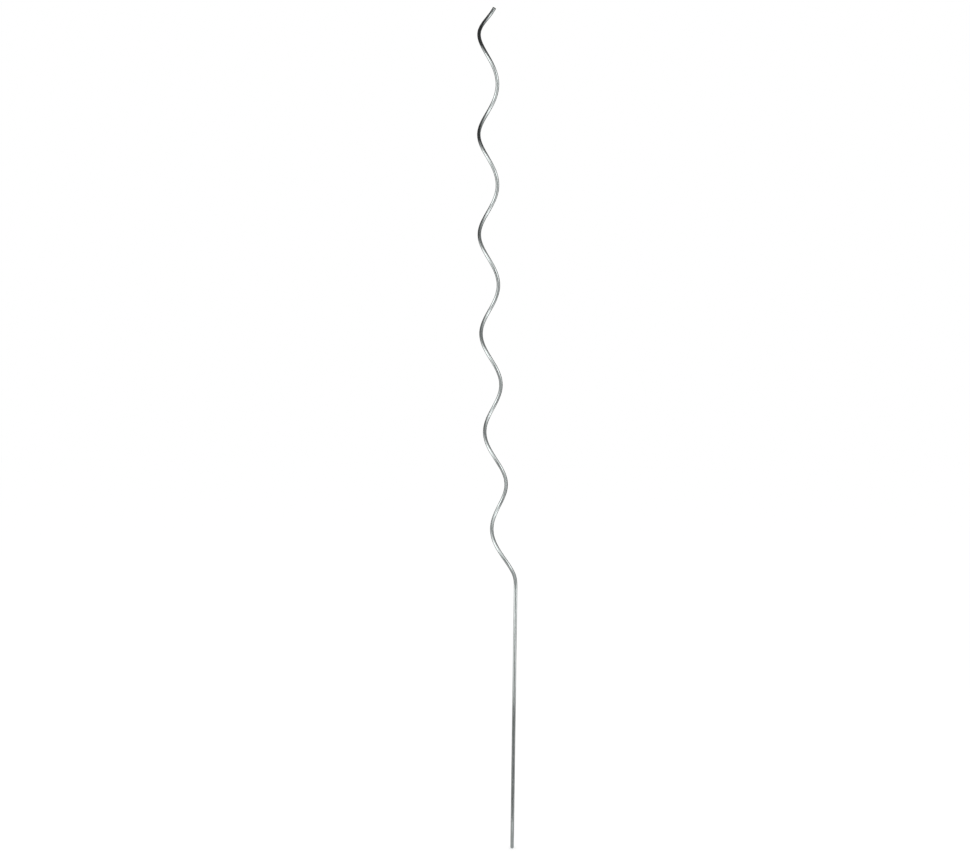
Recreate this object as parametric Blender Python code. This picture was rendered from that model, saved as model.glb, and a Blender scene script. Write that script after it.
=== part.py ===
# Spiral tomato stake, in metres. One length of galvanised steel rod: a straight leg that is
# pushed into the soil, then a long open left-handed coil that the stem grows up through.
# The origin is the middle of the foot's flat end, +Z runs up the leg, and the coil's axis
# leans away from the leg towards -X.

import math

import bpy
import numpy as np

# Driving dimensions
overall_height = 1.800
rod_diameter = 0.0075
leg_height = 0.558
coil_bore = 0.0317
coil_pitch = 0.2108

# Rise in which the straight rod takes up the coil's bend
bend_in_rise = 0.0435

# At the top the turns close up over this rise, until the same rise holds this share more turns
closing_rise = 0.090
closing_share = 0.38

# The axis leans out this far in all, about two thirds of it within this rise
lean_reach = 0.057
lean_rise = 0.398

# End cuts: a blunt chamfer at the foot, and a broken edge at the top
foot_chamfer = 0.0012
foot_chamfer_rise = 0.0020
top_edge_break = 0.0004

# Facets
points_per_turn = 24
leg_stretches = 12
rod_bevel_resolution = 6

# Finish
zinc_colour = (0.60, 0.62, 0.61, 1.0)
zinc_roughness = 0.30

rod_radius = rod_diameter / 2
coil_radius = (coil_bore + rod_diameter) / 2
turn_per_rise = 2 * math.pi / coil_pitch

# The top is cut square to the sloping rod, so its edge stands above the rod's centre
top_slope = math.atan(coil_radius * turn_per_rise * (1 + closing_share))
top_centre_height = overall_height - (rod_radius - top_edge_break) * math.sin(top_slope)


def clear_scene():
    for old in list(bpy.data.objects):
        bpy.data.objects.remove(old, do_unlink=True)


def eased(rise, run):
    """The rise that counts, where it starts from nothing and counts in full after the run."""
    share = np.clip(rise / run, 0, 1)
    return run * (share**3 - share**4 / 2) + np.clip(rise - run, 0, None)


def rod_centre(height):
    """The rod's centre at each of these heights."""
    bent = eased(np.clip(height - leg_height, 0, None), bend_in_rise)
    closed = eased(np.clip(height - top_centre_height + closing_rise, 0, None), closing_rise)
    turned = turn_per_rise * (bent + closing_share * closed)
    lean = lean_reach * (1 - np.exp(-bent / lean_rise))
    x = coil_radius * (np.cos(turned) - 1) - lean
    y = -coil_radius * np.sin(turned)
    return np.column_stack([x, y, height])


def rod_path():
    """Centre points from the foot to the top end, with the rod's radius at each."""
    leg = np.linspace(foot_chamfer_rise, leg_height, leg_stretches + 1)
    coil_steps = math.ceil((top_centre_height - leg_height) / coil_pitch * points_per_turn)
    coil = np.linspace(leg_height, top_centre_height, coil_steps + 1)
    heights = np.concatenate([[0], leg, coil[1:-1]])
    points = rod_centre(heights)

    # The last two points lie along the rod's own direction, so that its end is square
    end, just_under = rod_centre(np.array([top_centre_height, top_centre_height - 0.01 * rod_radius]))
    along = (end - just_under) / np.linalg.norm(end - just_under)
    points = np.vstack([points, end - along * top_edge_break, end])

    radii = np.full(len(points), rod_radius)
    radii[0] -= foot_chamfer
    radii[-1] -= top_edge_break
    return points, radii


def least_gap(points):
    """The least clear width between stretches of rod that are half a turn or more apart."""
    apart = points_per_turn // 2
    widths = [
        np.linalg.norm(points[first + apart :] - points[first], axis=1).min()
        for first in range(len(points) - apart)
    ]
    return min(widths) - rod_diameter


def make_rod(points, radii):
    curve = bpy.data.curves.new("spiral_rod", "CURVE")
    curve.dimensions = "3D"
    curve.bevel_depth = rod_radius
    curve.bevel_resolution = rod_bevel_resolution
    curve.use_fill_caps = True
    spline = curve.splines.new("POLY")
    spline.points.add(len(points) - 1)
    for spot, centre, radius in zip(spline.points, points, radii):
        spot.co = (*centre, 1)
        spot.radius = radius / rod_radius
    rod = bpy.data.objects.new("spiral_rod", curve)
    bpy.context.scene.collection.objects.link(rod)
    return rod


def galvanised_steel():
    material = bpy.data.materials.new("galvanised_steel")
    material.use_nodes = True
    surface = material.node_tree.nodes["Principled BSDF"]
    surface.inputs["Base Color"].default_value = zinc_colour
    surface.inputs["Roughness"].default_value = zinc_roughness
    surface.inputs["Metallic"].default_value = 1.0
    return material


clear_scene()
centres, widths = rod_path()
spiral_rod = make_rod(centres, widths)
spiral_rod.data.materials.append(galvanised_steel())
print(f"least gap between turns: {least_gap(centres):.4f} m")
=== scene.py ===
import math

import bpy
from mathutils import Matrix, Vector


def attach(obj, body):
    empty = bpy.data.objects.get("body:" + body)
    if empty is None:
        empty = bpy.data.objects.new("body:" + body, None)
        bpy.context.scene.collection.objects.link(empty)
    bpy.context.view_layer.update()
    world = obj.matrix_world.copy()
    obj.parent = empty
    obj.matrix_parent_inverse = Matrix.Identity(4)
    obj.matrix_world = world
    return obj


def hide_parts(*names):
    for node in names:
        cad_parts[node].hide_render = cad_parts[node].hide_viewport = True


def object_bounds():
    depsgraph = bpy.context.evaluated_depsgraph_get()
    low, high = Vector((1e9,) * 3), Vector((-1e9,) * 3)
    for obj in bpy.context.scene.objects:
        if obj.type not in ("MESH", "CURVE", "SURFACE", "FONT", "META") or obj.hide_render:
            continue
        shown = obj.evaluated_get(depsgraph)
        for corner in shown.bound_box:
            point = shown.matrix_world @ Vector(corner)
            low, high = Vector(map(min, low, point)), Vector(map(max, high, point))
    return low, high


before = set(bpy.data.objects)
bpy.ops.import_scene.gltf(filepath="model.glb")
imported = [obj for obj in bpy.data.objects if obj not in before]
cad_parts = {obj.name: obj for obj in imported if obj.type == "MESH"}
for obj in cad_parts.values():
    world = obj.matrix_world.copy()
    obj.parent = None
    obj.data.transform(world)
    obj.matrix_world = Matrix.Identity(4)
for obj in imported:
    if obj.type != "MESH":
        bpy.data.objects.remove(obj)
cad_low, cad_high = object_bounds()


# The rod
# The whole stake is one round steel rod with a bright zinc coat, and nothing is fixed to it. Its
# lower third is the straight leg, and the rest is wound left-handed round a mandrel in open turns.

zinc_wave_depth = 0.00003

# The leg stands on the origin, so the CAD's box ends one rod radius to the right of it, and one
# rod radius and one coil radius behind it. The lean is a hair less than the solids' 57 mm, because
# their flat facets cut the curve short.
rod_sizes = {
    "Overall height": cad_high.z,
    "Rod radius": cad_high.x - zinc_wave_depth,
    "Coil radius": cad_high.y - cad_high.x,
    "Leg height": 0.558,
    "Coil pitch": 0.2108,
    "Bend-in rise": 0.0435,
    "Closing rise": 0.090,
    "Closing share": 0.38,
    "Lean reach": 0.05695,
    "Lean rise": 0.398,
    "Foot chamfer": 0.0012,
    "Foot chamfer rise": 0.0020,
    "Top edge break": 0.0004,
    "Zinc wave depth": zinc_wave_depth,
    "Zinc wave length": 0.018,
    "Ring crowding at the ends": 0.97,
}
rod_counts = {"Rings": 1600, "Sides": 48}
sharp_edge_angle = math.radians(20)

dark_zinc = (0.499, 0.531, 0.525, 1)
light_zinc = (0.648, 0.691, 0.683, 1)
bare_steel = (0.50, 0.49, 0.48, 1)
rust_brown = (0.30, 0.25, 0.21, 1)
least_zinc_roughness = 0.13
bare_steel_roughness = 0.40
zinc_relief_depth = 0.00002
shear_mark_depth = 0.00005
relief_strength = 0.5


class Output:
    """What a node puts out. Further nodes add it, multiply it and so on, as if it were a number."""

    def __init__(self, socket):
        self.socket = socket
        self.tree = socket.id_data

    def maths(self, operation, *numbers):
        return Node(self.tree, "ShaderNodeMath", {"operation": operation}).fed_in_order(*numbers)[0]

    def __add__(self, other):
        return self.maths("ADD", self, other)

    def __radd__(self, other):
        return self.maths("ADD", other, self)

    def __sub__(self, other):
        return self.maths("SUBTRACT", self, other)

    def __rsub__(self, other):
        return self.maths("SUBTRACT", other, self)

    def __mul__(self, other):
        return self.maths("MULTIPLY", self, other)

    def __rmul__(self, other):
        return self.maths("MULTIPLY", other, self)

    def __truediv__(self, other):
        return self.maths("DIVIDE", self, other)

    def __rtruediv__(self, other):
        return self.maths("DIVIDE", other, self)

    def __pow__(self, power):
        return self.maths("POWER", self, power)

    def __neg__(self):
        return self.maths("MULTIPLY", self, -1)

    def sine(self):
        return self.maths("SINE", self)

    def cosine(self):
        return self.maths("COSINE", self)

    def arctangent(self):
        return self.maths("ARCTANGENT", self)

    def exponential(self):
        return self.maths("EXPONENT", self)

    def at_least(self, least):
        return self.maths("MAXIMUM", self, least)

    def at_most(self, most):
        return self.maths("MINIMUM", self, most)

    def ramp(self, start, end, low=0, high=1):
        """Goes from low to high while this number goes from start to end."""
        ends = {"From Min": start, "From Max": end, "To Min": low, "To Max": high}
        return Node(self.tree, "ShaderNodeMapRange", Value=self, **ends)[0]

    def scaled(self, scale):
        """This vector, times a number."""
        product = Node(self.tree, "ShaderNodeVectorMath", {"operation": "SCALE"}, Vector=self, Scale=scale)
        return product["Vector"]

    def dot(self, other):
        """The dot product of this vector and another."""
        product = Node(self.tree, "ShaderNodeVectorMath", {"operation": "DOT_PRODUCT"})
        return product.fed_in_order(self, other)["Value"]


class Node:
    """A new node, with values or links put into its inputs. Square brackets pick an output."""

    def __init__(self, tree, kind, settings=None, **inputs):
        self.node = tree.nodes.new(kind)
        for name, value in (settings or {}).items():
            setattr(self.node, name, value)
        feed_inputs(self.node, **inputs)

    def __getitem__(self, output):
        return Output(self.node.outputs[output])

    def fed_in_order(self, *values):
        """The node with its first inputs fed, where several inputs share one name."""
        for socket, value in zip(self.node.inputs, values):
            feed(socket, value)
        return self


def feed(socket, value):
    """Links a node's output to the socket, or sets a plain value there."""
    if isinstance(value, Output):
        value.tree.links.new(value.socket, socket)
    else:
        socket.default_value = value


def feed_inputs(node, **inputs):
    """Feeds the node's inputs of these names, in which an underscore stands for a space."""
    for name, value in inputs.items():
        feed(node.inputs[name.replace("_", " ")], value)


def vector(x, y, z):
    return Node(x.tree, "ShaderNodeCombineXYZ", X=x, Y=y, Z=z)[0]


def noise(place, scale=1, detail=2):
    """A soft random pattern from about 0 to 1, with finer parts where there is more detail."""
    return Node(place.tree, "ShaderNodeTexNoise", Vector=place, Scale=scale, Detail=detail)[0]


def mixed_colour(share, first, second):
    """Goes from the first colour to the second while the share goes from 0 to 1."""
    mix = Node(share.tree, "ShaderNodeMix", {"data_type": "RGBA"}, Factor=share).node

    # Its sockets for numbers and vectors have the same names, so the colour's are told by their type
    colour_inputs = [socket for socket in mix.inputs if socket.type == "RGBA"]
    for socket, colour in zip(colour_inputs, (first, second)):
        feed(socket, colour)
    return Output(next(socket for socket in mix.outputs if socket.type == "RGBA"))


def stored(geometry, name, value, kind="FLOAT"):
    """The geometry, with the value kept on its points under this name."""
    attribute = {"Geometry": geometry, "Name": name, "Value": value}
    return Node(geometry.tree, "GeometryNodeStoreNamedAttribute", {"data_type": kind}, **attribute)[0]


def read(tree, name, kind="FLOAT"):
    """What each point keeps under this name."""
    return Node(tree, "GeometryNodeInputNamedAttribute", {"data_type": kind}, Name=name)[0]


def eased(rise, run):
    """The rise that counts, where it starts from nothing and counts in full after the run."""
    share = (rise / run).at_most(1)
    return run * (share**3 - share**4 / 2) + (rise - run).at_least(0)


def top_end(size, turn_per_rise):
    """How far from upright the rod is at its top end, and how high its centre is there."""
    top_turning = turn_per_rise * (1 + size["Closing share"])
    top_slope = (size["Coil radius"] * top_turning).arctangent()

    # The end is cut square to the sloping rod, so its edge stands above the rod's centre
    end_radius = size["Rod radius"] - size["Top edge break"]
    return top_slope, size["Overall height"] - end_radius * top_slope.sine()


def upright_points(tree, size, top_height):
    """A straight line of points, closer together at both ends, that keep their height."""
    line = Node(tree, "GeometryNodeCurvePrimitiveLine", End=(0, 0, 1))[0]
    points = Node(tree, "GeometryNodeResampleCurve", Curve=line, Count=size["Rings"])[0]
    share = Node(tree, "GeometryNodeSplineParameter")["Factor"]
    wave = (share * (2 * math.pi)).sine() / (2 * math.pi)
    crowded = share - wave * size["Ring crowding at the ends"]

    # It is stored, because a point's share of the line changes as the line is bent
    return stored(points, "height", crowded * top_height)


def wound_points(tree, size, points, turn_per_rise, top_height):
    """Winds the upright points into the coil by their height, round an axis that leans."""
    height = read(tree, "height")
    bent = eased((height - size["Leg height"]).at_least(0), size["Bend-in rise"])
    closing_start = top_height - size["Closing rise"]
    closed = eased((height - closing_start).at_least(0), size["Closing rise"])
    turned = turn_per_rise * (bent + size["Closing share"] * closed)
    lean = size["Lean reach"] * (1 - (-bent / size["Lean rise"]).exponential())
    outward_x = turned.cosine()
    outward_y = -turned.sine()
    x = size["Coil radius"] * (outward_x - 1) - lean
    y = size["Coil radius"] * outward_y
    place = vector(x, y, height)
    wound = Node(tree, "GeometryNodeSetPosition", Geometry=points, Position=place)[0]

    # The coil's bore side rubbed on the mandrel and the leg didn't, so the leg has no inward side
    is_coil = (height - size["Leg height"]).ramp(0, size["Bend-in rise"])
    inward = vector(outward_x, outward_y, 0).scaled(-is_coil)
    wound = stored(wound, "inward", inward, "FLOAT_VECTOR")

    # How far along the rod each point lies, and where its coat may be wavy: not on the foot's end
    wound = stored(wound, "length", Node(tree, "GeometryNodeSplineParameter")["Length"])
    return stored(wound, "coat", height.ramp(0, size["Foot chamfer rise"]))


def swept_rod(tree, size, centre, top_slope, top_height):
    """Sweeps a circle along the points, thinner at the foot's chamfer and the top's broken edge."""
    height = read(tree, "height")
    radius = size["Rod radius"]
    foot = height.ramp(0, size["Foot chamfer rise"], low=1 - size["Foot chamfer"] / radius)
    top_rise = size["Top edge break"] * top_slope.cosine()
    top = (top_height - height).ramp(0, top_rise, low=1 - size["Top edge break"] / radius)

    circle = Node(tree, "GeometryNodeCurvePrimitiveCircle", Resolution=size["Sides"], Radius=radius)[0]
    place = Node(tree, "GeometryNodeInputPosition")[0]
    circle = stored(circle, "around", place, "FLOAT_VECTOR")
    swept = {"Curve": centre, "Profile Curve": circle, "Scale": foot * top, "Fill Caps": True}
    return Node(tree, "GeometryNodeCurveToMesh", **swept)[0]


def coated_rod(tree, size, bare_rod):
    """Marks on the rod what its coat's pattern follows, and makes the coat a little wavy."""
    # Where each point would lie on the rod before it was bent
    side = Node(tree, "ShaderNodeSeparateXYZ", Vector=read(tree, "around", "FLOAT_VECTOR"))
    unbent = vector(side["X"], side["Y"], read(tree, "length"))
    coated = stored(bare_rod, "unbent", unbent, "FLOAT_VECTOR")

    # The strip along the coil's inside that touched the mandrel
    normal = Node(tree, "GeometryNodeInputNormal")[0]
    facing = normal.dot(read(tree, "inward", "FLOAT_VECTOR"))
    coated = stored(coated, "mandrel_side", facing.ramp(0.75, 1))

    # The waves go as far out as in, for which the rod's radius leaves room in the CAD's box
    waves = noise(unbent, scale=1 / size["Zinc wave length"])
    rise = (waves - 0.5) * (size["Zinc wave depth"] * 2)
    offset = normal.scaled(rise * read(tree, "coat"))
    return Node(tree, "GeometryNodeSetPosition", Geometry=coated, Offset=offset)[0]


def bent_rod_tree():
    """Bends a straight line by the coil's rule, sweeps a circle along it and coats it unevenly."""
    tree = bpy.data.node_groups.new("bent_rod", "GeometryNodeTree")
    tree.interface.new_socket("Geometry", in_out="OUTPUT", socket_type="NodeSocketGeometry")
    for names, kind in (
        (rod_sizes, "NodeSocketFloat"),
        (rod_counts, "NodeSocketInt"),
        (("Coat", "Cut ends"), "NodeSocketMaterial"),
    ):
        for name in names:
            tree.interface.new_socket(name, in_out="INPUT", socket_type=kind)
    size = Node(tree, "NodeGroupInput")

    turn_per_rise = 2 * math.pi / size["Coil pitch"]
    top_slope, top_height = top_end(size, turn_per_rise)
    points = upright_points(tree, size, top_height)
    centre = wound_points(tree, size, points, turn_per_rise, top_height)
    coated = coated_rod(tree, size, swept_rod(tree, size, centre, top_slope, top_height))
    whole = Node(tree, "GeometryNodeRealizeInstances", Geometry=coated)[0]

    # Only the two cut ends are faces with more than four corners
    corners = Node(tree, "GeometryNodeInputMeshFaceNeighbors")["Vertex Count"]
    is_cut = Node(tree, "FunctionNodeCompare", {"operation": "GREATER_THAN"}, A=corners, B=4)[0]
    zinc, steel = size["Coat"], size["Cut ends"]
    whole = Node(tree, "GeometryNodeSetMaterial", Geometry=whole, Material=zinc)[0]
    whole = Node(tree, "GeometryNodeSetMaterial", Geometry=whole, Selection=is_cut, Material=steel)[0]
    Node(tree, "NodeGroupOutput", Geometry=whole)
    return tree


def new_material(name):
    """A material, and the shader of its surface."""
    material = bpy.data.materials.new(name)
    material.use_nodes = True
    return material, material.node_tree.nodes["Principled BSDF"]


def unbent_place(tree, x, y, z):
    """The place on the unbent rod in marks: so many to the metre across it (x, y) and along it (z)."""
    spot = Node(tree, "ShaderNodeAttribute", {"attribute_name": "unbent"})["Vector"]
    return Node(tree, "ShaderNodeMapping", Vector=spot, Scale=(x, y, z))[0]


def bright_zinc():
    """Zinc on drawn steel: lines along the rod, a fine frost of crystals, and duller patches."""
    material, surface = new_material("bright_zinc")
    tree = material.node_tree

    # The die's lines run far along the rod, the crystals are about a millimetre across
    fine_lines = noise(unbent_place(tree, 2200, 2200, 9), detail=3)
    broad_lines = noise(unbent_place(tree, 700, 700, 4))
    patches = noise(unbent_place(tree, 110, 110, 24), detail=4)
    frost = Node(tree, "ShaderNodeTexVoronoi", Vector=unbent_place(tree, 1000, 1000, 700), Scale=1)
    rubs = noise(unbent_place(tree, 300, 300, 2600))
    rubbed = Node(tree, "ShaderNodeAttribute", {"attribute_name": "mandrel_side"})["Fac"]

    dull = patches.ramp(0.35, 0.70)
    line = fine_lines.ramp(0.30, 0.70)
    crystal = Node(tree, "ShaderNodeSeparateColor", Color=frost["Color"])[0]
    tone = dull * 0.30 + crystal * 0.35 + line * 0.35
    roughness = least_zinc_roughness + dull * 0.07 + crystal * 0.07 + line * 0.05 - rubbed * 0.04
    relief = fine_lines * 4 + broad_lines * 4 + frost["Distance"] * 1.5 + rubs * rubbed * 0.6
    bump = Node(tree, "ShaderNodeBump", Strength=relief_strength, Distance=zinc_relief_depth, Height=relief)
    feed_inputs(
        surface,
        Base_Color=mixed_colour(tone, dark_zinc, light_zinc),
        Metallic=1,
        Roughness=roughness,
        Normal=bump[0],
    )
    return material


def sheared_steel():
    """The bare grey steel of a sheared end, with the blade's marks across it and some rust."""
    material, surface = new_material("sheared_steel")
    tree = material.node_tree
    marks = noise(unbent_place(tree, 600, 6000, 1), detail=3)
    spots = noise(unbent_place(tree, 1500, 1900, 1), detail=4)
    rust = (spots + marks * 0.4).ramp(0.45, 1)
    bump = Node(tree, "ShaderNodeBump", Strength=relief_strength, Distance=shear_mark_depth, Height=marks)
    feed_inputs(
        surface,
        Base_Color=mixed_colour(rust, bare_steel, rust_brown),
        Metallic=1 - rust,
        Roughness=bare_steel_roughness + rust * 0.40,
        Normal=bump[0],
    )
    return material


def made_by_tree(name, tree, values):
    """A plain mesh of what the tree makes with these values."""
    source = bpy.data.objects.new(name, bpy.data.meshes.new(name))
    bpy.context.scene.collection.objects.link(source)
    modifier = source.modifiers.new("tree", "NODES")
    modifier.node_group = tree
    for item in tree.interface.items_tree:
        if item.in_out == "INPUT":
            modifier[item.identifier] = values[item.name]
    graph = bpy.context.evaluated_depsgraph_get()
    mesh = bpy.data.meshes.new_from_object(source.evaluated_get(graph))
    source.modifiers.remove(modifier)
    source.data = mesh
    return source


rod_materials = {"Coat": bright_zinc(), "Cut ends": sheared_steel()}
rod = made_by_tree("bent_zinc_rod", bent_rod_tree(), rod_sizes | rod_counts | rod_materials)
rod.data.shade_smooth()
rod.data.set_sharp_from_angle(angle=sharp_edge_angle)
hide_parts("spiral_rod")
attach(rod, "root")


# The floor and the white room
# The stake stands on a plain pale floor in an even white room. To the camera and in the metal
# the lit floor is as white as the room, and it keeps the stake's shadow.

room_light = 0.85
floor_grey = 0.8
floor_lift = 1 - floor_grey * room_light
floor_range = (-12.0, 12.0)
white = (1, 1, 1, 1)


def seen_directly_or_mirrored(tree):
    """1 for what the camera sees straight, in metal or through glass, and 0 for what lights things."""
    path = Node(tree, "ShaderNodeLightPath")
    rays = path["Is Camera Ray"] + path["Is Glossy Ray"] + path["Is Transmission Ray"]
    return rays.at_most(1)


def pale_floor():
    """Matt paint that catches the shadow, lifted to the room's white where it is seen."""
    material, surface = new_material("pale_floor")
    feed_inputs(
        surface,
        Base_Color=(floor_grey, floor_grey, floor_grey, 1),
        Roughness=0.9,
        Specular_IOR_Level=0,
        Emission_Color=white,
        Emission_Strength=seen_directly_or_mirrored(material.node_tree) * floor_lift,
    )
    return material


def white_room():
    """An even light from all sides, which is pure white where it is seen."""
    world = bpy.data.worlds.new("white_room")
    world.use_nodes = True
    strength = seen_directly_or_mirrored(world.node_tree).ramp(0, 1, room_light, 1)
    feed_inputs(world.node_tree.nodes["Background"], Color=white, Strength=strength)
    return world


def lying_corners(x_range, y_range, height):
    """The corners of a level rectangle."""
    (left, right), (front, back) = x_range, y_range
    return [(left, front, height), (right, front, height), (right, back, height), (left, back, height)]


def flat_card(name, corners, material):
    """A flat sheet between four corners, which isn't part of the stake."""
    mesh = bpy.data.meshes.new(name)
    mesh.from_pydata(corners, [], [(0, 1, 2, 3)])
    mesh.materials.append(material)
    card = bpy.data.objects.new(name, mesh)
    bpy.context.scene.collection.objects.link(card)
    return card


flat_card("floor", lying_corners(floor_range, floor_range, 0), pale_floor())
bpy.context.scene.world = white_room()


# The lamps
# Two tall soft boxes stand at the front left and right, and a wide low one hangs over the camera.
# Their brightness is how white they look in a mirror, where 1 is white.

stake_x = -0.03


def round_the_stake(degrees, distance, height):
    """A place this far out, where 0 degrees is straight in front and 90 is to the right."""
    turned = math.radians(degrees)
    return Vector((stake_x + distance * math.sin(turned), -distance * math.cos(turned), height))


def soft_box(name, degrees, distance, half_angle, bottom, top, brightness):
    """A lamp that reaches this angle to either side of its middle, as seen from the stake."""
    light = bpy.data.lights.new(name, "AREA")
    light.shape = "RECTANGLE"
    light.size = 2 * distance * math.tan(math.radians(half_angle))
    light.size_y = top - bottom
    light.energy = brightness * math.pi * light.size * light.size_y
    box = bpy.data.objects.new(name, light)
    box.location = round_the_stake(degrees, distance, (bottom + top) / 2)
    inwards = Vector((stake_x, 0, (bottom + top) / 2)) - box.location
    box.rotation_euler = inwards.to_track_quat("-Z", "Y").to_euler()
    box.visible_camera = False
    bpy.context.scene.collection.objects.link(box)


soft_box("soft_box_left", -51, 3.0, half_angle=17, bottom=0.02, top=1.70, brightness=1.55)
soft_box("soft_box_right", 57, 3.0, half_angle=14, bottom=0.02, top=1.10, brightness=1.65)
soft_box("soft_box_above_camera", 3, 3.4, half_angle=29, bottom=2.18, top=2.45, brightness=2.0)


# The cards
# Bright metal shows only what it mirrors, so cards from black to white round the stake draw its
# light and dark stretches. The camera doesn't see them, and they take no light from the floor.

# The mats lie in two layers, so that where two overlap the upper one shows
lower_layer = 0.0006
upper_layer = 0.0010
front_x_range = (-0.66, 0.66)
panels_in_a_standing_card = 4


def plain_card(name, corners, grey):
    """A card of one even grey, which only the metal mirrors."""
    material, surface = new_material(name)
    feed_inputs(
        surface,
        Base_Color=(0, 0, 0, 1),
        Specular_IOR_Level=0,
        Emission_Color=(grey, grey, grey, 1),
        Emission_Strength=1,
    )
    card = flat_card(name, corners, material)
    card.visible_camera = False
    card.visible_diffuse = False
    card.visible_shadow = False


def lying_card(name, x_range, y_range, height, grey):
    plain_card(name, lying_corners(x_range, y_range, height), grey)


def facing_card(name, x_range, y, z_range, grey):
    """An upright card that faces the camera."""
    (left, right), (bottom, top) = x_range, z_range
    plain_card(name, [(left, y, bottom), (right, y, bottom), (right, y, top), (left, y, top)], grey)


def standing_card(name, degree_range, distance, top, grey):
    """A row of flat panels on an arc round the stake, from the floor up."""
    first, last = degree_range
    step = (last - first) / panels_in_a_standing_card
    for panel in range(panels_in_a_standing_card):
        start = first + panel * step
        end = start + step
        corners = [round_the_stake(start, distance, 0), round_the_stake(end, distance, 0)]
        corners += [round_the_stake(end, distance, top), round_the_stake(start, distance, top)]
        plain_card(f"{name}_{panel + 1}", corners, grey)


lying_card("grey_ceiling", (-1.9, 1.4), (-1.15, 1.9), 2.10, grey=0.31)
lying_card("black_cloth_above", (-1.4, 0.31), (-0.25, 0.70), 1.88, grey=0.05)
lying_card("grey_mat_at_the_foot", front_x_range, (-0.11, 0.04), upper_layer, grey=0.47)
lying_card("white_mat_in_front", front_x_range, (-0.35, -0.11), upper_layer, grey=1.00)
lying_card("grey_mat_in_front", front_x_range, (-1.05, -0.35), upper_layer, grey=0.42)
lying_card("black_mat_in_front", front_x_range, (-1.45, -1.05), upper_layer, grey=0.09)
lying_card("dark_mat_in_front", front_x_range, (-2.05, -1.45), upper_layer, grey=0.14)
lying_card("black_runner_under_camera", front_x_range, (-9.0, -2.05), upper_layer, grey=0.01)
lying_card("wide_pale_mat_in_front", (-1.7, 1.7), (-2.75, -1.50), lower_layer, grey=0.74)
lying_card("black_mat_behind", (-1.3, 1.3), (0.04, 1.4), lower_layer, grey=0.07)
lying_card("grey_mat_left", (-1.2, -0.2), (-0.9, 0.04), lower_layer, grey=0.57)
lying_card("grey_mat_right", (0.2, 1.2), (-0.9, 0.04), lower_layer, grey=0.57)
standing_card("black_card_back_left", (-93, -143), distance=1.5, top=1.97, grey=0.13)
standing_card("black_card_back_right", (94, 169), distance=1.5, top=2.06, grey=0.10)
standing_card("black_skirt_in_front", (-20, 38), distance=2.8, top=0.30, grey=0.01)
facing_card("grey_card_before_the_tip", (-0.7, 0.7), -0.2, (1.713, 1.86), grey=0.30)

# This one hides the white mat from the leg, but not from the coil
facing_card("dark_card_before_the_leg", (-0.3, 0.3), -0.15, (0.0, 0.26), grey=0.17)


# The camera
# It stands a little below the coil's middle and looks slightly down, as in the photograph. Its
# place, its turns in radians and its lens are those that lay the rod's line over the photograph's.

camera_distance = 2.599
camera_height = 0.9999
camera_roll = 0.0127
camera_pitch = -0.0347
camera_yaw = -0.0269
focal_length_in_pixels = 1219.1
picture_width_in_pixels = 970

forward = Vector((
    math.sin(camera_yaw) * math.cos(camera_pitch),
    math.cos(camera_yaw) * math.cos(camera_pitch),
    math.sin(camera_pitch),
))
level_right = Vector((math.cos(camera_yaw), -math.sin(camera_yaw), 0))
level_up = level_right.cross(forward)
right = level_right * math.cos(camera_roll) + level_up * math.sin(camera_roll)
up = level_up * math.cos(camera_roll) - level_right * math.sin(camera_roll)
camera = bpy.data.objects.new("camera", bpy.data.cameras.new("camera"))
camera.data.lens = camera.data.sensor_width * focal_length_in_pixels / picture_width_in_pixels
turn = Matrix((right, up, -forward)).transposed().to_4x4()
camera.matrix_world = Matrix.Translation((0, -camera_distance, camera_height)) @ turn
bpy.context.scene.collection.objects.link(camera)
bpy.context.scene.camera = camera
bpy.context.scene.view_settings.view_transform = "Standard"
